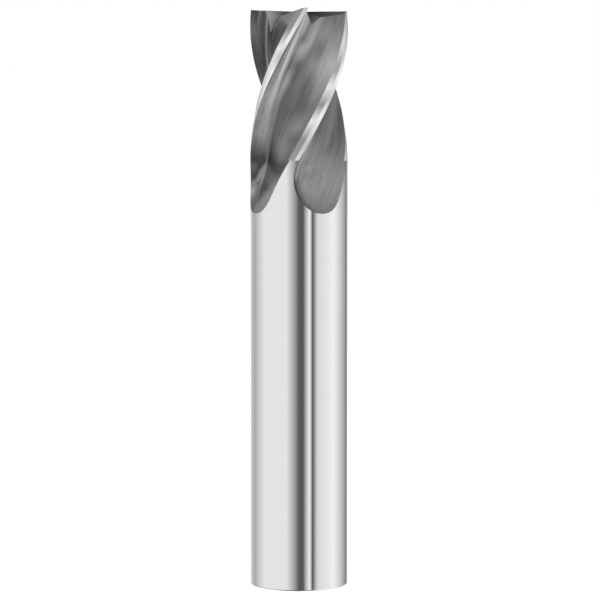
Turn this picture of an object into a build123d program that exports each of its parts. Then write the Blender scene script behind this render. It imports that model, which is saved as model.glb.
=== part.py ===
from build123d import *
from math import acos, cos, degrees, pi, radians, sin, tan
import os

# Four-flute, centre-cutting, square-ended end mill: a carbide cutting head brazed into a
# plain cylindrical steel shank. Millimetres and degrees, +Z along the tool towards the cutting
# end. The origin is the centre of the shank's back face, and one tooth's corner is on +X.

# The whole tool
tool_diameter = 12.7
overall_length = 75.0
tooth_count = 4
helix_angle = 30.0
length_of_cut = 19.5
run_out_length = 6.75

# Flute section, square to the axis
core_ratio = 0.60
rake_angle = 9.0
root_radius = 1.4
core_contact_angle = 26.3

# Run-out: the flute slows its turn, comes back a little, and leaves the tool
run_out_turn_back = 6.4
run_out_power = 1.7
run_out_direction = 36.0

# Relief behind each cutting edge: a narrow primary land, then a wider secondary land.
# The head has a slight back taper, and its blank stands a little proud of the cutting edges.
primary_land_angle = 5.2
primary_land_drop = 0.08
heel_angle = 13.5
heel_drop = 0.35
back_taper = 0.0003
grinding_allowance = 0.003

# End teeth, long ones that meet at the centre and short ones between them
end_dish_angle = 1.3
end_primary_width = 0.8
end_primary_relief = 6.0
end_secondary_relief = 20.0
long_gash_start = -0.2
long_gash_exit = 3.85
long_gash_depth = 2.1
long_gash_slope = 25.0
short_gash_start = 2.0
short_gash_exit = 3.69
short_gash_depth = 2.7
short_gash_slope = 5.0
gash_opening = 85.0

# Joint between the head and the shank
joint_height = 43.0
spigot_diameter = 6.0
spigot_length = 9.0
spigot_chamfer = 0.4
braze_thickness = 0.05
back_chamfer = 0.15

# Derived sizes
radius = tool_diameter / 2
core_radius = core_ratio * radius
turn_per_mm = degrees(tan(radians(helix_angle)) / radius)
above_tip = 2.0
clear_radius = 1.3 * radius


def polar(distance, angle):
    """Point in the section plane at this distance and angle about the tool's axis."""
    return Vector(distance * cos(radians(angle)), distance * sin(radians(angle)))


def section_plane(depth, turn):
    """Plane square to the axis, this far below the tip and turned about the axis."""
    return Plane.XY.offset(overall_length - depth).rotated((0, 0, turn))


def edge_radius(depth):
    """Radius of the cutting edges at this depth below the tip."""
    return radius - back_taper * depth


def flute_turn(depth):
    """Turn of the flute's section about the axis at this depth below the tip."""
    beyond = max(0.0, depth - length_of_cut)
    slowed = beyond * (1 - beyond / run_out_turn_back)
    return -turn_per_mm * (min(depth, length_of_cut) + slowed)


def flute_lift(depth):
    """How far the flute's section has moved out from the axis at this depth below the tip."""
    beyond = max(0.0, depth - length_of_cut)
    return (radius - core_radius) * (beyond / run_out_length) ** run_out_power


# Flute section: rake line, root arc tangent to it and to the straight back, and an outer closure
rake_direction = polar(1, rake_angle)
rake_normal = polar(1, rake_angle + 90)
back_normal = polar(1, core_contact_angle)
edge_point = Vector(radius, 0)
root_line_start = edge_point + rake_normal * root_radius
to_root_centre = core_radius + root_radius - back_normal.dot(root_line_start)
root_centre = root_line_start + rake_direction * (to_root_centre / back_normal.dot(rake_direction))
root_start = root_centre - rake_normal * root_radius
root_middle = root_centre - (rake_normal + back_normal).normalized() * root_radius
root_end = root_centre - back_normal * root_radius
rake_outer = edge_point + rake_direction * (clear_radius - radius)
back_outer_angle = core_contact_angle + degrees(acos(core_radius / clear_radius))
back_outer = polar(clear_radius, back_outer_angle)
closing_corner = polar(1.35 * clear_radius, back_outer_angle / 2)

# Flute space: the section carried along the helix from above the tip, then lifted out
cutting_stations = [-above_tip + i * (length_of_cut + above_tip) / 18 for i in range(19)]
run_out_stations = [length_of_cut + i * (run_out_length + 1) / 8 for i in range(1, 9)]

with BuildPart() as flute_space:
    for depth in cutting_stations + run_out_stations:
        lift = polar(flute_lift(depth), run_out_direction)
        with BuildSketch(section_plane(depth, flute_turn(depth))):
            with BuildLine():
                Line(rake_outer + lift, root_start + lift)
                ThreePointArc(root_start + lift, root_middle + lift, root_end + lift)
                Polyline(root_end + lift, back_outer + lift, closing_corner + lift, rake_outer + lift)
            make_face()
    loft()

# Relief space: what is ground away behind a cutting edge, over the length of cut
with BuildPart() as relief_space:
    for depth in cutting_stations:
        land_front = polar(edge_radius(depth), 0)
        land_back = polar(edge_radius(depth) - primary_land_drop, -primary_land_angle)
        with BuildSketch(section_plane(depth, flute_turn(depth))):
            with BuildLine():
                Polyline(
                    land_front + (land_front - land_back) / 2,
                    land_back,
                    polar(radius - heel_drop, -heel_angle),
                    polar(radius - 2 * heel_drop, -1.6 * heel_angle),
                    polar(clear_radius, -1.6 * heel_angle),
                    polar(clear_radius, primary_land_angle / 2),
                    close=True,
                )
            make_face()
    loft()

# End reliefs and gashes. The end cutting edges rise towards the outside by the dish angle.
dish_slope = tan(radians(end_dish_angle))
start_x = radius + 1
start_height = overall_length + dish_slope
centre_height = overall_length - radius * dish_slope
edge_outwards = Vector(1, 0, dish_slope).normalized()
primary_fall = end_primary_width * tan(radians(end_primary_relief))
relief_width = 1.2 * radius
secondary_fall = (relief_width - end_primary_width) * tan(radians(end_secondary_relief))


def end_relief_space(next_gash_slope):
    """What is ground away behind the end cutting edge on +X, up to the next tooth's gash wall."""
    wall_slope = tan(radians(next_gash_slope))
    wall_normal = (1, wall_slope * dish_slope, wall_slope)
    gash_wall = Plane(origin=(0, 0, centre_height), z_dir=wall_normal)
    with BuildPart() as space:
        with BuildSketch(Plane(origin=(start_x, 0, start_height), x_dir=(0, -1, 0), z_dir=-edge_outwards)):
            with BuildLine():
                Polyline(
                    (0, above_tip),
                    (0, 0),
                    (end_primary_width, -primary_fall),
                    (relief_width, -primary_fall - secondary_fall),
                    (relief_width, above_tip),
                    close=True,
                )
            make_face()
        extrude(amount=start_x / cos(radians(end_dish_angle)))
        split(bisect_by=gash_wall, keep=Keep.TOP)
    return space.part


def gash_space(start_x, exit_x, depth, forward_slope):
    """Gash in front of the end cutting edge on +X. Its root leaves that edge at start_x, and
    passes exit_x at this depth below the tip. Its wall leans forward from the edge."""
    root_top = Vector(start_x, 0, centre_height + start_x * dish_slope)
    exit_fall = depth - (radius - exit_x) * dish_slope
    root_exit = Vector(exit_x, exit_fall * tan(radians(forward_slope)), overall_length - depth)
    down_the_root = (root_exit - root_top).normalized()
    up_the_wall = edge_outwards - down_the_root * edge_outwards.dot(down_the_root)
    run_up = 3.0
    run_length = run_up + 1.4 * radius
    origin = root_top - down_the_root * run_up
    with BuildPart() as space:
        with BuildSketch(Plane(origin=origin, x_dir=up_the_wall, z_dir=down_the_root)):
            with BuildLine():
                Polyline((0, 0), polar(2 * radius, 0), polar(2 * radius, -gash_opening), close=True)
            make_face()
        extrude(amount=run_length)
    return space.part


# Cutting head: the ground blank with its spigot, less the flutes, the reliefs and the gashes
long_tooth_relief = end_relief_space(short_gash_slope)
short_tooth_relief = end_relief_space(long_gash_slope)
long_gash = gash_space(long_gash_start, long_gash_exit, long_gash_depth, long_gash_slope)
short_gash = gash_space(short_gash_start, short_gash_exit, short_gash_depth, short_gash_slope)

with BuildPart() as cutting_head:
    with BuildSketch(Plane.XY.offset(joint_height)):
        Circle(edge_radius(overall_length - joint_height) + grinding_allowance)
    with BuildSketch(Plane.XY.offset(overall_length)):
        Circle(radius + grinding_allowance)
    loft()
    with BuildSketch(Plane.XY.offset(joint_height)):
        Circle(spigot_diameter / 2)
    extrude(amount=-spigot_length)
    chamfer(edges().sort_by(Axis.Z)[0], length=spigot_chamfer)
    with PolarLocations(0, tooth_count):
        add(flute_space.part, mode=Mode.SUBTRACT)
    with PolarLocations(0, tooth_count):
        add(relief_space.part, mode=Mode.SUBTRACT)
    with PolarLocations(0, tooth_count // 2, start_angle=90):
        add(long_tooth_relief, mode=Mode.SUBTRACT)
        add(long_gash, mode=Mode.SUBTRACT)
    with PolarLocations(0, tooth_count // 2):
        add(short_tooth_relief, mode=Mode.SUBTRACT)
        add(short_gash, mode=Mode.SUBTRACT)

# Braze: a thin stepped cup of silver braze between the spigot and its socket, and between the
# shoulders of the two halves, ground flush with the outside of the tool
socket_radius = spigot_diameter / 2 + braze_thickness
socket_floor = joint_height - spigot_length - braze_thickness
shank_top = joint_height - braze_thickness

with BuildPart() as braze_joint:
    with BuildSketch(Plane.XZ):
        with BuildLine():
            Polyline(
                (0, socket_floor),
                (socket_radius, socket_floor),
                (socket_radius, shank_top),
                (radius, shank_top),
                (radius, joint_height),
                (spigot_diameter / 2, joint_height),
                (spigot_diameter / 2, joint_height - spigot_length + spigot_chamfer),
                (spigot_diameter / 2 - spigot_chamfer, joint_height - spigot_length),
                (0, joint_height - spigot_length),
                close=True,
            )
        make_face()
    revolve(axis=Axis.Z)

# Shank: a ground cylinder with a blind socket in front and a chamfered back edge
with BuildPart() as shank:
    with BuildSketch(Plane.XY):
        Circle(radius)
    extrude(amount=shank_top)
    with BuildSketch(Plane.XY.offset(socket_floor)):
        Circle(socket_radius)
    extrude(amount=shank_top - socket_floor, mode=Mode.SUBTRACT)
    chamfer(edges().group_by(Axis.Z)[0], length=back_chamfer)

cutting_head.part.label = "cutting_head"
braze_joint.part.label = "braze_joint"
shank.part.label = "shank"

os.makedirs("parts", exist_ok=True)
export_step(cutting_head.part, "parts/cutting_head.step")
export_step(braze_joint.part, "parts/braze_joint.step")
export_step(shank.part, "parts/shank.step")
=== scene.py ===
"""Looks of a four-flute end mill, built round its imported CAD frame. Millimetres inside the
geometry functions, metres in the scene."""

from math import acos, cos, degrees, pi, radians, sin, tan

import bmesh
import bpy
from mathutils import Matrix, Vector


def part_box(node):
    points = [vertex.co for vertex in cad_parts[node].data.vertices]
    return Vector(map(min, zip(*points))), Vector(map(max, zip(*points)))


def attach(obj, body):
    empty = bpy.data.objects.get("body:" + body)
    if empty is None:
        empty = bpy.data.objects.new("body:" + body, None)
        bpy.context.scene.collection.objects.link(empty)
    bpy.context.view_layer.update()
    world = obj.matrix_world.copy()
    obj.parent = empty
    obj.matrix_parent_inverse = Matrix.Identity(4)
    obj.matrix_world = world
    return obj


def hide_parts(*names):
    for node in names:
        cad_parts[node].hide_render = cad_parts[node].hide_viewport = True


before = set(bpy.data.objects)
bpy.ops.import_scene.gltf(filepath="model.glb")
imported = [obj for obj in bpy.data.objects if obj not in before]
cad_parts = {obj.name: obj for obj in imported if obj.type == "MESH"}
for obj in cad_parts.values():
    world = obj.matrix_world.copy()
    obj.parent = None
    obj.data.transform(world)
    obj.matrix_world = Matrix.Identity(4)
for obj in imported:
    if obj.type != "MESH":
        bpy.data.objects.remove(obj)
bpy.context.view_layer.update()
MM = 0.001

# ---------------------------------------------------------------- sizes, in mm, from the frame
head_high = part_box("cutting_head")[1]
shank_low, shank_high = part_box("shank")
braze_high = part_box("braze_joint")[1]
RADIUS = (shank_high[0] - shank_low[0]) / 2 / MM
TIP = head_high[2] / MM
JOINT = braze_high[2] / MM
SHANK_TOP = shank_high[2] / MM

HELIX_ANGLE = 30.0
LENGTH_OF_CUT = 19.5
RUN_OUT_LENGTH = 6.75
CORE_RATIO = 0.60
RAKE_ANGLE = 9.0
ROOT_RADIUS = 1.4
CORE_CONTACT_ANGLE = 26.3
RUN_OUT_TURN_BACK = 6.4
RUN_OUT_POWER = 1.7
RUN_OUT_DIRECTION = 36.0
PRIMARY_LAND_ANGLE = 5.2
PRIMARY_LAND_DROP = 0.08
HEEL_ANGLE = 13.5
HEEL_DROP = 0.35
END_DISH_ANGLE = 1.3
END_PRIMARY_WIDTH = 0.8
END_PRIMARY_RELIEF = 6.0
END_SECONDARY_RELIEF = 20.0
LONG_GASH_START = -0.2
LONG_GASH_DEPTH = 2.1
LONG_GASH_EXIT = 3.85
LONG_GASH_SLOPE = 25.0
SHORT_GASH_START = 2.0
SHORT_GASH_DEPTH = 2.7
SHORT_GASH_EXIT = 3.69
SHORT_GASH_SLOPE = 5.0
GASH_OPENING = 85.0
BACK_CHAMFER = 0.15
BRAZE_RING_WIDTH = 0.6
QUARTER_TURNS = [0, 90, 180, 270]
SHORT_TEETH = [0, 180]
LONG_TEETH = [90, 270]

CORE_RADIUS = CORE_RATIO * RADIUS
TURN_PER_MM = degrees(tan(radians(HELIX_ANGLE)) / RADIUS)
ABOVE_TIP = 2.0
FLUTE_END = LENGTH_OF_CUT + RUN_OUT_LENGTH + 1.25
CLEAR_RADIUS = 1.3 * RADIUS
AROUND = 360


# ---------------------------------------------------------------- nodes
def math_node(nodes, links, operation, first, second=0.0):
    node = nodes.new("ShaderNodeMath")
    node.operation = operation
    for socket, value in zip(node.inputs, (first, second)):
        if isinstance(value, (int, float)):
            socket.default_value = value
        else:
            links.new(value, socket)
    return node.outputs[0]


def axes_of(nodes, links, place):
    parts = nodes.new("ShaderNodeSeparateXYZ")
    links.new(place, parts.inputs[0])
    return parts.outputs


def ramp_node(nodes, links, value, stops):
    """Colour that follows these (position from 0 to 1, colour) stops as the value rises."""
    node = nodes.new("ShaderNodeValToRGB")
    links.new(value, node.inputs[0])
    elements = node.color_ramp.elements
    while len(elements) > 1:
        elements.remove(elements[-1])
    for index, (position, colour) in enumerate(stops):
        element = elements[0] if index == 0 else elements.new(position)
        element.position = position
        element.color = (*colour, 1)
    return node.outputs[0]


# ---------------------------------------------------------------- materials
GREEN_CAST = 1.005


class Finish:
    """A metal's node tree, with helpers for the few kinds of node that the finishes share."""

    def __init__(self, name):
        self.material = bpy.data.materials.new(name)
        self.material.use_nodes = True
        self.nodes = self.material.node_tree.nodes
        self.links = self.material.node_tree.links
        self.surface = self.nodes["Principled BSDF"]
        self.surface.inputs["Metallic"].default_value = 1.0
        self.position = self.nodes.new("ShaderNodeTexCoord").outputs["Object"]

    def math(self, operation, first, second=0.0):
        return math_node(self.nodes, self.links, operation, first, second)

    def axes(self, place):
        return axes_of(self.nodes, self.links, place)

    def untwisted(self, rate=1.0):
        """The position turned back along the helix, in which lines along the helix are upright."""
        depth = self.math("SUBTRACT", TIP * MM, self.axes(self.position)["Z"])
        angle = self.math("MULTIPLY", depth, rate * radians(TURN_PER_MM) / MM)
        turn = self.nodes.new("ShaderNodeVectorRotate")
        turn.rotation_type = "Z_AXIS"
        self.links.new(self.position, turn.inputs["Vector"])
        self.links.new(angle, turn.inputs["Angle"])
        return turn.outputs[0]

    def noise(self, place, per_mm, detail=2.0, roughness=0.5):
        """Noise with this many features to the millimetre along X, Y and Z of the place."""
        scale = self.nodes.new("ShaderNodeMapping")
        scale.inputs["Scale"].default_value = [count / MM for count in per_mm]
        self.links.new(place, scale.inputs["Vector"])
        texture = self.nodes.new("ShaderNodeTexNoise")
        texture.inputs["Scale"].default_value = 1.0
        texture.inputs["Detail"].default_value = detail
        texture.inputs["Roughness"].default_value = roughness
        self.links.new(scale.outputs[0], texture.inputs["Vector"])
        return texture.outputs["Fac"]

    def between(self, value, low, high, to_low, to_high):
        node = self.nodes.new("ShaderNodeMapRange")
        self.links.new(value, node.inputs["Value"])
        node.inputs["From Min"].default_value = low
        node.inputs["From Max"].default_value = high
        node.inputs["To Min"].default_value = to_low
        node.inputs["To Max"].default_value = to_high
        return node.outputs[0]

    def ramp(self, value, stops):
        """A grey that follows these (place, grey) stops as the value rises."""
        coloured = [(position, (grey, GREEN_CAST * grey, grey)) for position, grey in stops]
        return ramp_node(self.nodes, self.links, value, coloured)

    def mixed(self, share, low, high):
        """Low where the share is 0, high where it is 1."""
        rise = self.math("MULTIPLY", self.math("SUBTRACT", high, low), share)
        return self.math("ADD", rise, low)

    def part_of_quarter_turn(self, rate, offset):
        """How far round its quarter turn a point is, 0 to 1, in the frame turned back at this rate."""
        axes = self.axes(self.untwisted(rate))
        angle = self.math("ARCTAN2", axes["Y"], axes["X"])
        quarter_turns = self.math("MULTIPLY", self.math("ADD", angle, radians(offset)), 2 / pi)
        return self.math("FRACT", self.math("ADD", quarter_turns, 4))

    def height_share(self, low_depth, high_depth):
        """0 at or below the first depth under the tip, in mm, rising to 1 at the second."""
        low, high = (TIP - low_depth) * MM, (TIP - high_depth) * MM
        return self.between(self.axes(self.position)["Z"], low, high, 0, 1)

    def colour(self, value, stops):
        self.links.new(self.ramp(value, stops), self.surface.inputs["Base Color"])

    def roughness(self, value):
        self.links.new(value, self.surface.inputs["Roughness"])

    def bump(self, value, height_mm):
        node = self.nodes.new("ShaderNodeBump")
        node.inputs["Strength"].default_value = 1.0
        node.inputs["Distance"].default_value = height_mm * MM
        self.links.new(value, node.inputs["Height"])
        self.links.new(node.outputs[0], self.surface.inputs["Normal"])


def ground_along_helix(name, greys, roughness, height_mm):
    """Grinding lines that run along the helix, from fine hairlines to broad faint bands."""
    finish = Finish(name)
    place = finish.untwisted()
    hairlines = finish.noise(place, (6, 6, 0.08), 3, 0.7)
    bands = finish.noise(place, (1.6, 1.6, 0.05), 2, 0.5)
    finish.colour(hairlines, [(0.3, greys[0]), (0.7, greys[1])])
    finish.roughness(finish.between(bands, 0.3, 0.7, roughness[0], roughness[1]))
    finish.bump(hairlines, height_mm)
    return finish.material


def flute_with_painted_light(name, grey, roughness, height_mm):
    """Satin flute: fine lines a little steeper than the helix, with light and shade painted into the
    grey:
    a painted highlight on the rake face lower down, painted shade at the root and one painted lighter
    band."""
    finish = Finish(name)
    place = finish.untwisted(1.3)
    hairlines = finish.noise(place, (6, 6, 0.08), 3, 0.7)
    bands = finish.noise(place, (1.6, 1.6, 0.05), 2, 0.5)
    fine = finish.math("MULTIPLY", hairlines, 0.6)
    along = finish.math("ADD", fine, finish.math("MULTIPLY", bands, 0.4))
    lines = finish.between(along, 0.36, 0.64, 0.82, 1.18)
    across = finish.part_of_quarter_turn(1.0, 10)
    # Painted light and shade: greys across the flute, one set higher up and one lower down, that stand
    # in for reflections and shade
    upper_painted_shading_stops = [(0.1, 0.48), (0.26, 0.44), (0.34, 0.24), (0.42, 0.24), (0.5, grey)]
    lower_painted_shading_stops = [(0.09, 0.95), (0.17, 0.47), (0.27, 0.17), (0.42, 0.16), (0.6, 0.2), (0.85, grey)]
    upper = finish.ramp(across, upper_painted_shading_stops)
    lower = finish.ramp(across, lower_painted_shading_stops)
    ground = finish.mixed(finish.height_share(11, 7), lower, upper)
    ground = finish.mixed(finish.height_share(19, 16), grey, ground)
    # Painted highlight: one lighter band along each flute, brighter at some heights than at others
    painted_highlight_stops = [(0.32, 0), (0.4, 0.5), (0.48, 0.5), (0.6, 0)]
    painted_highlight = finish.ramp(finish.part_of_quarter_turn(1.6, 0), painted_highlight_stops)
    painted_highlight_fade_stops = [
        (0.13, 0), (0.4, 0.56), (0.5, 0.56), (0.57, 1), (0.65, 0.6), (0.8, 0.25), (1, 0.2),
    ]
    painted_highlight_fade = finish.ramp(finish.height_share(15, 0), painted_highlight_fade_stops)
    # The flute's grey with its painted light and shade, plus the painted highlight
    ground = finish.math("ADD", ground, finish.math("MULTIPLY", painted_highlight, painted_highlight_fade))
    finish.colour(finish.math("MULTIPLY", ground, lines), [(0, 0), (1, 1)])
    satin = finish.ramp(across, [(0.1, 0.4), (0.17, 0.2), (0.3, 0)])
    satin = finish.math("MULTIPLY", satin, finish.mixed(finish.height_share(11, 7), 1, 0))
    satin = finish.math("MULTIPLY", satin, finish.height_share(20, 17))
    even = finish.between(bands, 0.3, 0.7, roughness[0], roughness[1])
    finish.roughness(finish.math("ADD", satin, even))
    finish.bump(hairlines, height_mm)
    return finish.material


def ground_across_with_painted_shade(name, greys, roughness, height_mm):
    """Fine grinding lines without a lasting direction, for the small faces at the tip. The grey is
    painted
    shade: dark in the middle of the end, rising to bright at its rim."""
    finish = Finish(name)
    lines = finish.noise(finish.position, (9, 9, 1.5), 3, 0.6)
    axes = finish.axes(finish.position)
    squares = [finish.math("MULTIPLY", axes[axis], axes[axis]) for axis in ("X", "Y")]
    distance = finish.math("SQRT", finish.math("ADD", *squares))
    # Painted shade: the base grey is dark near the axis and bright towards the rim
    grey = finish.between(distance, 2 * MM, 6 * MM, greys[0], greys[1])
    varied = finish.between(lines, 0.3, 0.7, 0.88, 1.12)
    finish.colour(finish.math("MULTIPLY", grey, varied), [(0, 0), (1, 1)])
    finish.roughness(finish.between(lines, 0.3, 0.7, roughness[0], roughness[1]))
    finish.bump(lines, height_mm)
    return finish.material


def polished_round(name, greys, roughness, height_mm):
    """Polished cylinder: hairlines round it, a faint haze and hardly any relief."""
    finish = Finish(name)
    rings = finish.noise(finish.position, (0.15, 0.15, 14), 3, 0.6)
    haze = finish.noise(finish.position, (0.3, 0.3, 0.12), 3, 0.5)
    finish.colour(rings, [(0.25, greys[0]), (0.75, greys[1])])
    finish.roughness(finish.between(haze, 0.3, 0.7, roughness[0], roughness[1]))
    finish.bump(rings, height_mm)
    return finish.material


POLISHED_CARBIDE = polished_round("polished_carbide", (0.94, 0.98), (0.03, 0.05), 0.00002)
FLUTE = flute_with_painted_light("flute_with_painted_light", 0.33, (0.22, 0.28), 0.003)
LAND = ground_along_helix("ground_land", (0.85, 0.92), (0.06, 0.1), 0.0003)
TIP_FACE = ground_across_with_painted_shade("tip_face_with_painted_shade", (0.1, 0.75), (0.16, 0.24), 0.0008)
POLISHED_STEEL = polished_round("polished_steel", (0.94, 0.98), (0.03, 0.05), 0.00002)
BRAZE = polished_round("silver_braze", (0.88, 0.92), (0.06, 0.1), 0.0001)


# ---------------------------------------------------------------- mesh helpers
# Edges sharper than these stay crisp: the lands' facets, the shank's chamfer, and any other
LAND_FACET_ANGLE = 8
CHAMFER_FACET_ANGLE = 12
OTHER_FACET_ANGLE = 25


def polar(distance, angle, height=0.0):
    return Vector((distance * cos(radians(angle)), distance * sin(radians(angle)), height))


def circle(distance, height):
    return [polar(distance, 360 * i / AROUND, height) for i in range(AROUND)]


def turned(point, angle):
    c, s = cos(radians(angle)), sin(radians(angle))
    return Vector((c * point.x - s * point.y, s * point.x + c * point.y, point.z))


def object_from(name, vertices, faces):
    mesh = bpy.data.meshes.new(name)
    mesh.from_pydata(vertices, [], faces)
    mesh.update()
    made = bpy.data.objects.new(name, mesh)
    bpy.context.scene.collection.objects.link(made)
    return made


def tube_of_loops(name, loops):
    """Closed solid through a row of closed loops, with flat ends."""
    count = len(loops[0])
    vertices = [point for loop in loops for point in loop]
    faces = []
    for row in range(len(loops) - 1):
        low, high = row * count, (row + 1) * count
        for i in range(count):
            j = (i + 1) % count
            faces.append((low + i, low + j, high + j, high + i))
    last = (len(loops) - 1) * count
    faces.append(tuple(range(count - 1, -1, -1)))
    faces.append(tuple(range(last, last + count)))
    made = object_from(name, vertices, faces)
    work = bmesh.new()
    work.from_mesh(made.data)
    bmesh.ops.recalc_face_normals(work, faces=work.faces)
    work.to_mesh(made.data)
    work.free()
    return made


def steps(start, end, count):
    return [start + (end - start) * i / count for i in range(count + 1)]


# ---------------------------------------------------------------- the cutting head's shape
def flute_turn(depth):
    beyond = max(0.0, depth - LENGTH_OF_CUT)
    slowed = beyond * (1 - beyond / RUN_OUT_TURN_BACK)
    return -TURN_PER_MM * (min(depth, LENGTH_OF_CUT) + slowed)


def flute_lift(depth):
    beyond = max(0.0, depth - LENGTH_OF_CUT)
    return (RADIUS - CORE_RADIUS) * (beyond / RUN_OUT_LENGTH) ** RUN_OUT_POWER


def flute_section():
    """Closed outline of a flute: rake line, root arc, straight back and an outer closure."""
    rake = polar(1, RAKE_ANGLE)
    rake_normal = polar(1, RAKE_ANGLE + 90)
    back_normal = polar(1, CORE_CONTACT_ANGLE)
    edge = Vector((RADIUS, 0, 0))
    line_start = edge + rake_normal * ROOT_RADIUS
    reach = (CORE_RADIUS + ROOT_RADIUS - back_normal.dot(line_start)) / back_normal.dot(rake)
    centre = line_start + rake * reach
    outer_angle = CORE_CONTACT_ANGLE + degrees(acos(CORE_RADIUS / CLEAR_RADIUS))
    rake_outer = edge + rake * (CLEAR_RADIUS - RADIUS)
    root_start = centre - rake_normal * ROOT_RADIUS
    root_end = centre - back_normal * ROOT_RADIUS
    back_outer = polar(CLEAR_RADIUS, outer_angle)
    outline = [rake_outer.lerp(root_start, t) for t in steps(0, 1, 8)]
    arc = steps(RAKE_ANGLE + 270, CORE_CONTACT_ANGLE + 180, 18)
    outline += [centre + polar(ROOT_RADIUS, angle) for angle in arc[1:]]
    outline += [root_end.lerp(back_outer, t) for t in steps(0, 1, 20)[1:]]
    outline.append(polar(1.35 * CLEAR_RADIUS, outer_angle / 2))
    return outline


def flute_space():
    outline = flute_section()
    loops = []
    for depth in steps(-ABOVE_TIP, LENGTH_OF_CUT, 90) + steps(LENGTH_OF_CUT, FLUTE_END, 56)[1:]:
        lift = polar(flute_lift(depth), RUN_OUT_DIRECTION)
        height = Vector((0, 0, TIP - depth))
        loops.append([turned(point + lift, flute_turn(depth)) + height for point in outline])
    return tube_of_loops("flute_space", loops)


def relief_space():
    outline = [
        Vector((RADIUS, 0, 0)),
        polar(RADIUS - PRIMARY_LAND_DROP, -PRIMARY_LAND_ANGLE),
        polar(RADIUS - HEEL_DROP, -HEEL_ANGLE),
        polar(RADIUS - 2 * HEEL_DROP, -1.6 * HEEL_ANGLE),
        polar(CLEAR_RADIUS, -1.6 * HEEL_ANGLE),
        polar(CLEAR_RADIUS, 0),
    ]
    loops = []
    for depth in steps(-ABOVE_TIP, LENGTH_OF_CUT, 90):
        height = Vector((0, 0, TIP - depth))
        loops.append([turned(point, -TURN_PER_MM * depth) + height for point in outline])
    return tube_of_loops("relief_space", loops)


def end_relief_space(next_gash_slope):
    """What is ground away behind the end cutting edge that runs in from +X, as far as the gash
    wall of the tooth behind it."""
    start_x = RADIUS + 1
    slope = tan(radians(END_DISH_ANGLE))
    primary = END_PRIMARY_WIDTH * tan(radians(END_PRIMARY_RELIEF))
    width = 1.2 * RADIUS
    secondary = (width - END_PRIMARY_WIDTH) * tan(radians(END_SECONDARY_RELIEF))
    outline = [
        (0, ABOVE_TIP),
        (0, 0),
        (END_PRIMARY_WIDTH, -primary),
        (width, -primary - secondary),
        (width, ABOVE_TIP),
    ]
    lean = tan(radians(next_gash_slope))
    inner = [(behind * slope - up) * lean / (1 + slope * lean) for behind, up in outline]
    loops = []
    for across in ([start_x] * len(outline), inner):
        loop = []
        for x, (behind, up) in zip(across, outline):
            loop.append(Vector((x, -behind, TIP - (RADIUS - x) * slope + up)))
        loops.append(loop)
    return tube_of_loops("end_relief_space", loops)


def gash_space(start_x, exit_x, depth, forward_slope):
    """Gash in front of the end cutting edge on +X. Its root leaves that edge at start_x, and
    passes exit_x at this depth below the tip. Its wall leans forward from the edge."""
    slope = tan(radians(END_DISH_ANGLE))
    top = Vector((start_x, 0, TIP - (RADIUS - start_x) * slope))
    exit_fall = depth - (RADIUS - exit_x) * slope
    exit_point = Vector((exit_x, exit_fall * tan(radians(forward_slope)), TIP - depth))
    down = (exit_point - top).normalized()
    edge = Vector((1, 0, slope)).normalized()
    up_the_wall = (edge - down * edge.dot(down)).normalized()
    across = down.cross(up_the_wall)
    run_up = 3.0
    length = run_up + 1.4 * RADIUS
    far = 2 * RADIUS
    opening = radians(GASH_OPENING)
    corner = up_the_wall * cos(opening) - across * sin(opening)
    loops = []
    for along in (-run_up, length - run_up):
        root = top + down * along
        loops.append([root, root + up_the_wall * far, root + corner * far])
    return tube_of_loops("gash_space", loops)


def cut(target, cutter, material, angles):
    """Takes the cutter away at each of these angles about the tool's axis. The faces it leaves
    behind get the material."""
    cutter.data.materials.append(material)
    for angle in angles:
        cutter.rotation_euler = (0, 0, radians(angle))
        bpy.context.view_layer.update()
        step = target.modifiers.new("cut", "BOOLEAN")
        step.operation = "DIFFERENCE"
        step.solver = "MANIFOLD"
        step.material_mode = "TRANSFER"
        step.object = cutter
        bpy.context.view_layer.objects.active = target
        bpy.ops.object.modifier_apply(modifier=step.name)
    bpy.data.objects.remove(cutter)


def lathe(name, profile):
    """Closed solid of revolution from a list of (radius, height) that starts and ends on the axis."""
    vertices, faces = [Vector((0, 0, profile[0][1]))], []
    for r, z in profile[1:-1]:
        vertices += circle(r, z)
    vertices.append(Vector((0, 0, profile[-1][1])))
    rings = len(profile) - 2
    for i in range(AROUND):
        j = (i + 1) % AROUND
        faces.append((0, 1 + j, 1 + i))
        for ring in range(rings - 1):
            low, high = 1 + ring * AROUND, 1 + (ring + 1) * AROUND
            faces.append((low + i, low + j, high + j, high + i))
        top = 1 + (rings - 1) * AROUND
        faces.append((top + i, top + j, len(vertices) - 1))
    return object_from(name, vertices, faces)


def smooth(made, sharp_angle):
    """Brings the mesh from millimetres to metres, and shades it smooth up to this angle."""
    made.data.transform(Matrix.Scale(MM, 4))
    bpy.context.view_layer.objects.active = made
    made.select_set(True)
    bpy.ops.object.shade_smooth_by_angle(angle=radians(sharp_angle))
    made.select_set(False)


def make_head():
    heights = steps(JOINT, TIP, 40)
    profile = [(0, JOINT)] + [(RADIUS, z) for z in heights] + [(0, TIP)]
    head = lathe("ground_cutting_head", profile)
    head.data.materials.append(POLISHED_CARBIDE)
    cut(head, flute_space(), FLUTE, QUARTER_TURNS)
    cut(head, relief_space(), LAND, QUARTER_TURNS)
    long_gash = gash_space(LONG_GASH_START, LONG_GASH_EXIT, LONG_GASH_DEPTH, LONG_GASH_SLOPE)
    short_gash = gash_space(SHORT_GASH_START, SHORT_GASH_EXIT, SHORT_GASH_DEPTH, SHORT_GASH_SLOPE)
    cut(head, end_relief_space(SHORT_GASH_SLOPE), TIP_FACE, LONG_TEETH)
    cut(head, end_relief_space(LONG_GASH_SLOPE), TIP_FACE, SHORT_TEETH)
    cut(head, long_gash, TIP_FACE, LONG_TEETH)
    cut(head, short_gash, TIP_FACE, SHORT_TEETH)
    smooth(head, LAND_FACET_ANGLE)
    return head


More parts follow.
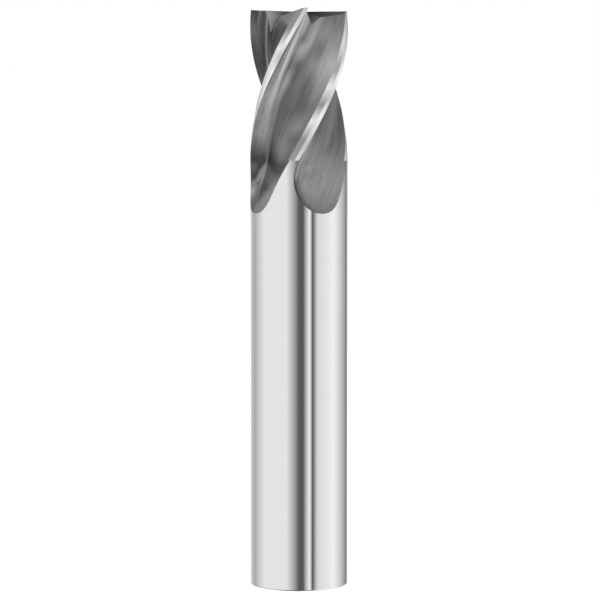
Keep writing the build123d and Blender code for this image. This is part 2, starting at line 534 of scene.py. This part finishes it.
def make_shank():
    profile = [
        (0, 0),
        (RADIUS - BACK_CHAMFER - 0.015, 0),
        (RADIUS - BACK_CHAMFER + 0.01, 0.01),
        (RADIUS - 0.01, BACK_CHAMFER - 0.01),
        (RADIUS, BACK_CHAMFER + 0.015),
    ]
    profile += [(RADIUS, z) for z in steps(1, SHANK_TOP, 20)]
    profile.append((0, SHANK_TOP))
    shank = lathe("polished_shank", profile)
    smooth(shank, CHAMFER_FACET_ANGLE)
    return shank


def make_braze_ring():
    inner = RADIUS - BRAZE_RING_WIDTH
    corners = ((inner, SHANK_TOP), (RADIUS, SHANK_TOP), (RADIUS, JOINT), (inner, JOINT))
    vertices = [point for r, z in corners for point in circle(r, z)]
    faces = []
    for side in range(4):
        low, high = side * AROUND, ((side + 1) % 4) * AROUND
        for i in range(AROUND):
            j = (i + 1) % AROUND
            faces.append((low + i, low + j, high + j, high + i))
    ring = object_from("braze_line", vertices, faces)
    smooth(ring, OTHER_FACET_ANGLE)
    return ring


head = make_head()
shank = make_shank()
braze = make_braze_ring()
shank.data.materials.append(POLISHED_STEEL)
braze.data.materials.append(BRAZE)

for piece, node, slot in (
    (head, "cutting_head", "carbide"),
    (shank, "shank", "shank_steel"),
    (braze, "braze_joint", "silver_braze"),
):
    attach(piece, "root")
    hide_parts(node)

# ---------------------------------------------------------------- floor, light and camera
FLOOR_REACH = 3.0
floor_corners = [(x * FLOOR_REACH, y * FLOOR_REACH, 0) for x, y in ((-1, -1), (1, -1), (1, 1), (-1, 1))]
floor = object_from("floor", floor_corners, [(0, 1, 2, 3)])
floor_material = bpy.data.materials.new("pale_floor")
floor_material.use_nodes = True
floor_surface = floor_material.node_tree.nodes["Principled BSDF"]
floor_surface.inputs["Base Color"].default_value = (0.9, 0.9, 0.9, 1)
floor_surface.inputs["Roughness"].default_value = 0.9
floor_surface.inputs["Emission Color"].default_value = (1, 1, 1, 1)
floor_surface.inputs["Emission Strength"].default_value = 0.85
floor.data.materials.append(floor_material)
# The tool's polished faces show the surround in place of the floor
floor.visible_glossy = False

CAMERA_AZIMUTH = -11.4
CAMERA_PITCH = 3.0
CAMERA_DISTANCE = 310.7 * MM
AIM_HEIGHT = 37.33 * MM
AIM_TO_THE_RIGHT = 0.13 * MM
LENS = 142.5

# Studio surround: a pale room with soft cards and dark flags. Each row is (elevation, stops), and
# each stop is (angle round from the camera, brightness), in degrees.
ROOM = [
    (-180, 0.8), (-130, 0.4), (-90, 0.8), (-30, 0.8), (0, 0.1), (10, 0.1), (25, 0.9), (32, 0.05),
    (45, 0.7), (90, 0.9), (150, 0.2), (180, 0.8),
]
FOUR_CARDS = [
    (-180, 0.05), (-150, 0.6), (-85, 1.0), (-65, 0.6), (-43, 1.0), (0, 0.6), (40, 1.0), (60, 0.6),
    (90, 1.0), (150, 0.4), (180, 0.05),
]
THREE_CARDS = [
    (-180, 0.05), (-130, 0.7), (-105, 0.3), (-87, 0.9), (-60, 0.3), (-25, 0.3), (0, 0.9), (23, 0.3),
    (48, 0.9), (70, 0.4), (180, 0.05),
]
OVERHEAD = [(-180, 0.1), (-60, 0.6), (0, 1.3), (60, 0.6), (180, 0.1)]
LOW_SIDES = [(-180, 0.05), (-130, 0.9), (-95, 0.05), (0, 0.2), (60, 1.3), (130, 1.0), (180, 0.05)]
DIM_BELOW = [(-180, 0.1), (180, 0.1)]
DIM_ABOVE = [(-180, 0.3), (180, 0.3)]
SURROUND = [
    (-88, DIM_BELOW),
    (-46, LOW_SIDES),
    (-25, LOW_SIDES),
    (-12, ROOM),
    (1, ROOM),
    (7, FOUR_CARDS),
    (13, FOUR_CARDS),
    (18, THREE_CARDS),
    (25, THREE_CARDS),
    (35, OVERHEAD),
    (55, OVERHEAD),
    (80, DIM_ABOVE),
]

world = bpy.data.worlds.new("studio")
bpy.context.scene.world = world
world.use_nodes = True
nodes, links = world.node_tree.nodes, world.node_tree.links
nodes.clear()


def world_math(operation, first, second=0.0):
    return math_node(nodes, links, operation, first, second)


def brightness_round(around, stops):
    """Brightness that follows (angle, brightness) stops as the share of a turn goes from 0 to 1."""
    coloured = [((angle + 180) / 360, (brightness,) * 3) for angle, brightness in stops]
    return ramp_node(nodes, links, around, coloured)


direction = nodes.new("ShaderNodeTexCoord").outputs["Generated"]
turn = nodes.new("ShaderNodeVectorRotate")
turn.rotation_type = "Z_AXIS"
turn.inputs["Angle"].default_value = -radians(CAMERA_AZIMUTH)
links.new(direction, turn.inputs["Vector"])
axes = axes_of(nodes, links, turn.outputs[0])
turned_by = world_math("ARCTAN2", axes["X"], world_math("MULTIPLY", axes["Y"], -1))
around = world_math("ADD", world_math("MULTIPLY", turned_by, 0.5 / pi), 0.5)
elevation = world_math("ARCSINE", axes["Z"])

# The colour sockets of a Mix node, after those for numbers and vectors
MIX_A, MIX_B = 6, 7

# The rows are joined from the lowest up, each blending softly into the next
lower_colour, lower_angle = None, None
for angle, stops in SURROUND:
    colour = brightness_round(around, stops)
    if lower_colour is not None:
        rise = nodes.new("ShaderNodeMapRange")
        rise.interpolation_type = "SMOOTHSTEP"
        rise.inputs["From Min"].default_value = radians(lower_angle)
        rise.inputs["From Max"].default_value = radians(angle)
        links.new(elevation, rise.inputs["Value"])
        mix = nodes.new("ShaderNodeMix")
        mix.data_type = "RGBA"
        links.new(rise.outputs[0], mix.inputs["Factor"])
        links.new(lower_colour, mix.inputs[MIX_A])
        links.new(colour, mix.inputs[MIX_B])
        colour = mix.outputs[2]
    lower_colour, lower_angle = colour, angle

# The camera sees plain white where the rays miss the tool and the floor
seen = nodes.new("ShaderNodeLightPath")
choose = nodes.new("ShaderNodeMix")
choose.data_type = "RGBA"
links.new(seen.outputs["Is Camera Ray"], choose.inputs["Factor"])
links.new(lower_colour, choose.inputs[MIX_A])
choose.inputs[MIX_B].default_value = (1, 1, 1, 1)
background = nodes.new("ShaderNodeBackground")
links.new(choose.outputs[2], background.inputs["Color"])
output = nodes.new("ShaderNodeOutputWorld")
links.new(background.outputs[0], output.inputs["Surface"])

camera_data = bpy.data.cameras.new("camera")
camera_data.lens = LENS
camera_data.clip_start = 0.01
camera = bpy.data.objects.new("camera", camera_data)
bpy.context.scene.collection.objects.link(camera)
azimuth = radians(CAMERA_AZIMUTH)
pitch = radians(CAMERA_PITCH)
right = Vector((cos(azimuth), sin(azimuth), 0))
target = right * AIM_TO_THE_RIGHT + Vector((0, 0, AIM_HEIGHT))
away = Vector((sin(azimuth) * cos(pitch), -cos(azimuth) * cos(pitch), sin(pitch)))
camera.location = target + away * CAMERA_DISTANCE
camera.rotation_mode = "QUATERNION"
camera.rotation_quaternion = (-away).to_track_quat("-Z", "Y")
bpy.context.scene.camera = camera
bpy.context.scene.view_settings.view_transform = "Standard"
